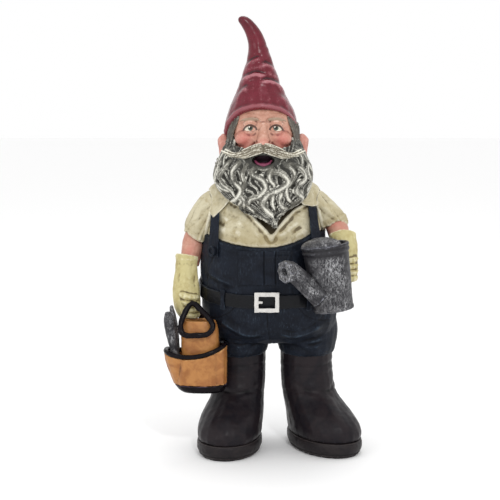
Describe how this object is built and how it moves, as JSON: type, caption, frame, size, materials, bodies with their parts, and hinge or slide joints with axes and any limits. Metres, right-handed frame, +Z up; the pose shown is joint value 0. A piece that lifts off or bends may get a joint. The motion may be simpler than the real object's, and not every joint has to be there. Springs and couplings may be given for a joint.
{
  "type": "garden gnome",
  "caption": "Free-standing garden gnome of painted cast resin in overalls and a tall hat, with a watering can in one hand and a tool bag in the other.",
  "frame": {"origin": "middle of the figure's outline on the ground, at the height of the soles", "axes": "+Z up, the figure faces -Y, +X towards its own left hand with the watering can"},
  "size_m": [0.1686, 0.1253, 0.3701],
  "materials": {
    "hat_paint": "satin-gloss burgundy paint on cast resin, dark wash in the folds",
    "skin_paint": "flesh paint with a rosy dry-brushed flush, satin",
    "hair_paint": "grey-brown paint, dry-brushed, matt",
    "beard_paint": "charcoal-grey paint with off-white dry brushing on the locks, satin",
    "moustache_paint": "cream-white paint over a grey wash, satin",
    "shirt_paint": "cream paint with a brown wash, satin",
    "denim_paint": "navy paint with blue-grey dry brushing on the weave, satin",
    "belt_paint": "black paint, satin",
    "buckle_paint": "silver-white paint, satin",
    "glove_paint": "pale yellow paint with an olive wash, satin",
    "boot_paint": "brown-black paint, satin, rubbed lighter on the edges",
    "sole_paint": "black paint, matt",
    "can_paint": "charcoal paint with silver dry brushing, satin",
    "bag_paint": "tan paint with an orange-brown wash, satin",
    "bag_trim_paint": "black-purple paint, satin-gloss",
    "tool_paint": "black paint with grey dry brushing, satin",
    "steel": "plain drawn rod"
  },
  "bodies": {
    "root": {"hat": "hat_paint", "head": "skin_paint", "right_forearm": "skin_paint", "left_forearm": "skin_paint", "hair": "hair_paint", "beard": "beard_paint", "moustache": "moustache_paint", "shirt": "shirt_paint", "collar": "shirt_paint", "right_sleeve": "shirt_paint", "left_sleeve": "shirt_paint", "overalls": "denim_paint", "bib_pocket": "denim_paint", "right_strap": "denim_paint", "left_strap": "denim_paint", "strap_buttons": "denim_paint", "belt_loops": "denim_paint", "belt": "belt_paint", "buckle": "buckle_paint", "right_glove": "glove_paint", "left_glove": "glove_paint", "right_boot": "boot_paint", "left_boot": "boot_paint", "right_sole": "sole_paint", "left_sole": "sole_paint", "can_body": "can_paint", "can_hood": "can_paint", "can_spout": "can_paint", "can_rose": "can_paint", "can_handle": "can_paint", "bag_body": "bag_paint", "bag_pockets": "bag_paint", "bag_trim": "bag_trim_paint", "bag_base": "bag_trim_paint", "bag_front_handle": "bag_trim_paint", "bag_rear_handle": "bag_trim_paint", "trowel": "tool_paint", "pruners": "tool_paint", "neck_rod": "steel", "hat_dowel": "steel", "arm_dowels": "steel", "leg_rods": "steel"}
  },
  "joints": []
}
